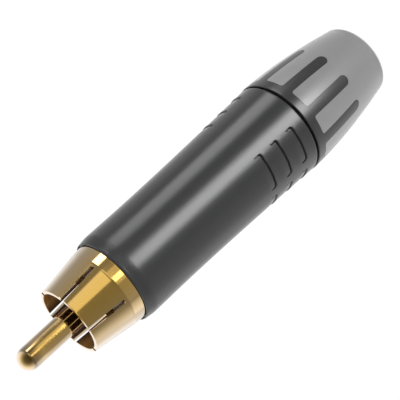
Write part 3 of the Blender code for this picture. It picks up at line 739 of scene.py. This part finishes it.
body = turned("boot_body_moulded", spigot_end + spigot_rows + ring_rows + finger_rows
              + core_rows + bore_rows, even_angles(ROUND_STEPS), spigot_relief)
space_rows = [(TOOL_END, RING_REAR), (TOOL_END, TONGUE_REAR)]
space_rows += [(core_radius(height), height) for height in even_heights(TONGUE_REAR, RING_REAR, 12)]
tongue_space = turned("tongue_space", space_rows, even_angles(ROUND_STEPS))
cut(tongue_space, finger_bars(0.0))
cut(body, tongue_space)
fitted(body, boot_resin(), "boot", "boot_resin", "boot_body")


# Boot grip: the second shot, soft matte grey rubber moulded over the core. Ten tongues of it
# lie flush between the fingers, and its thick end closes round the cable's way in.

END_ROUND = 0.80
END_WALL = 1.90
HOLE_EDGE = 0.12
SHOT_GAP = 0.02


def boot_rubber():
    rubber = new_finish("boot_rubber")
    grain = rubber.noise(9.0, 4.0, 0.6)
    mottle = rubber.noise(0.5, 3.0)
    rubber.surface(
        Base_Color=rubber.colours(mottle, (0.295, 0.295, 0.294), (0.325, 0.325, 0.324)),
        Roughness=0.22 + 0.08 * grain,
        Metallic=0.0,
        Sheen_Weight=0.30,
        Sheen_Roughness=0.40,
        Normal=rubber.bumps(grain, 0.006),
    )
    return rubber.block


grip_front = RING_REAR - SHOT_GAP
grip_rows = [(boot_radius(height), height) for height in even_heights(grip_front, END_ROUND, 28)]
grip_rows += arc(boot_radius(END_ROUND) - END_ROUND, END_ROUND, END_ROUND, 0, -90, 14)[1:]
grip_rows += [(CABLE_HOLE + HOLE_EDGE, 0.0), (CABLE_HOLE, HOLE_EDGE), (CABLE_HOLE, END_WALL)]
grip_rows += [(core_radius(height) + SHOT_GAP, height)
              for height in even_heights(END_WALL + 0.06, grip_front, 10)]
grip = turned("boot_grip_moulded", grip_rows, even_angles(ROUND_STEPS))
cut(grip, finger_bars(SHOT_GAP))
fitted(grip, boot_rubber(), "boot", "boot_rubber", "boot_grip")


# Studio: a pale floor that keeps a faint shadow, broad soft light from all round for the matt
# faces, and tall soft panels with dark gaps between them for the gloss.

FLOOR_SIZE = 1.5
FLOOR_DROP = 0.00002
bm = bmesh.new()
bmesh.ops.create_grid(bm, x_segments=1, y_segments=1, size=FLOOR_SIZE)
floor = placed("floor", bm)
floor.location = (0, 0, -FLOOR_DROP)
floor.visible_glossy = False


def seen_straight(finish):
    """One for what the camera sees by itself or through something clear."""
    rays = finish.node("LightPath")
    return rays.maths("MAXIMUM", rays.out("Is Camera Ray"), rays.out("Is Transmission Ray"))


paper = new_finish("pale_floor")
glow = paper.node("Emission", None, {"Color": (1, 1, 1, 1),
                                     "Strength": 0.82 + 0.22 * seen_straight(paper)})
matt = paper.node("BsdfDiffuse", None, {"Color": (1, 1, 1, 1)})
sheet = paper.node("MixShader", None, {0: 0.07, 1: glow, 2: matt})
paper.tree.links.new(sheet.socket, paper.tree.nodes["Material Output"].inputs["Surface"])
floor.data.materials.append(paper.block)

scene = bpy.context.scene
scene.world = bpy.data.worlds.new("studio")
studio = Finish(scene.world, "Background")
fade = studio.fade
towards = studio.node("TexCoord").out("Generated")
parts = studio.node("SeparateXYZ", None, {"Vector": towards})
DEGREES = 57.2958
round_about = parts.maths("ARCTAN2", -1 * parts.out("X"), -1 * parts.out("Y")) * DEGREES
to_side = abs(round_about)
upward = parts.maths("ARCSINE", parts.out("Z")) * DEGREES


def window(value, low, high, soft):
    """One between low and high, with soft edges."""
    return fade(value, low - soft, low + soft) * fade(value, high + soft, high - soft)


# What the gloss sees, in degrees: round from the front towards the plug's left, then up.
PANELS = (
    ("upper key", (-39.5, -4, 3), (-6, 4, 3), 0.62),
    ("key", (-7.5, 5.5, 2), (-11.5, -6.5, 2), 2.2),
    ("key edges", (-26, 14, 2.5), (-12.5, -6.5, 1.5), 0.30),
    ("pin key", (-33, 4.5, 12), (-18, -12.5, 1.5), 0.46),
    ("pin side", (-86, -70, 4), (-18, -12.5, 1.5), 0.24),
    ("band side", (74, 112, 6), (-13.5, -8.5, 1), 0.23),
    ("lower key", (-13, 14.5, 7), (-38.5, -18, 3), 12.0),
    ("side square", (-73, -53.5, 2), (-12, -6.5, 1.5), 3.3),
    ("lower side", (-81, -53, 4), (-30, -19, 4), 5.4),
    ("floor glow", (-200, 200, 5), (-95, -60, 8), 0.80),
)
DARK_FRONT = (0.0, -0.83, 0.56)
right_wall = 0.21 + 0.47 * fade(round_about, 66, 108) + 0.28 * fade(round_about, 112, 150)
right_wall = right_wall + 0.11 * fade(upward, -4, -9) * window(round_about, 2, 71, 8)
left_wall = 0.10 * fade(round_about, -60, -78) + 0.62 * fade(round_about, -108, -165)
low_wall = 0.16 + 0.60 * fade(to_side, 78, 122) + 0.30 * fade(to_side, 122, 165)
low_wall = low_wall + 0.50 * fade(round_about, 20, 85) * fade(round_about, 150, 105)
low_wall = low_wall + 0.36 * window(round_about, 22, 30, 8)
wall = (right_wall + left_wall) * (1 - 0.17 * fade(upward, -12.5, -15.5))
level = wall * fade(upward, -20, -16) + low_wall * fade(upward, -16, -20)
to_front = studio.node("VectorMath", {"operation": "DOT_PRODUCT"}, {0: towards, 1: DARK_FRONT})
ceiling = 0.10 + 0.90 * fade(to_front, 0.97, -0.15)
level = level * fade(upward, 14, 2) + fade(upward, 2, 14) * ceiling
for name, across, along, strength in PANELS:
    level = level + strength * window(round_about, *across) * window(upward, *along)
glossy = studio.node("LightPath").out("Is Glossy Ray")
plain = (1 - glossy) * (0.95 + 0.05 * seen_straight(studio))
studio.feed(studio.shader, {"Color": (1, 1, 1, 1), "Strength": level * glossy + plain})
scene.world.cycles.sampling_method = "NONE"

TILT = math.radians(24.68)
ROLL = math.radians(47.450)
DISTANCE = 0.14829
AIM_HEIGHT = 0.03226
FOCAL_PIXELS = 1149.1
PHOTO_PIXELS = 400
back = Vector((0, -math.cos(TILT), math.sin(TILT)))
along = Vector((0, math.sin(TILT), math.cos(TILT)))
across = Vector((-1, 0, 0))
right = -math.sin(ROLL) * along + math.cos(ROLL) * across
top = -math.cos(ROLL) * along - math.sin(ROLL) * across
camera = bpy.data.objects.new("camera", bpy.data.cameras.new("camera"))
camera.data.sensor_width = 36.0
camera.data.lens = camera.data.sensor_width * FOCAL_PIXELS / PHOTO_PIXELS
camera.data.clip_start = 0.005
camera.data.shift_x = -0.00155
camera.data.shift_y = 0.00158
held = Matrix((right, top, back)).transposed().to_4x4()
camera.matrix_world = Matrix.Translation(Vector((0, 0, AIM_HEIGHT)) + DISTANCE * back) @ held
scene.collection.objects.link(camera)
scene.camera = camera
scene.view_settings.view_transform = "Standard"
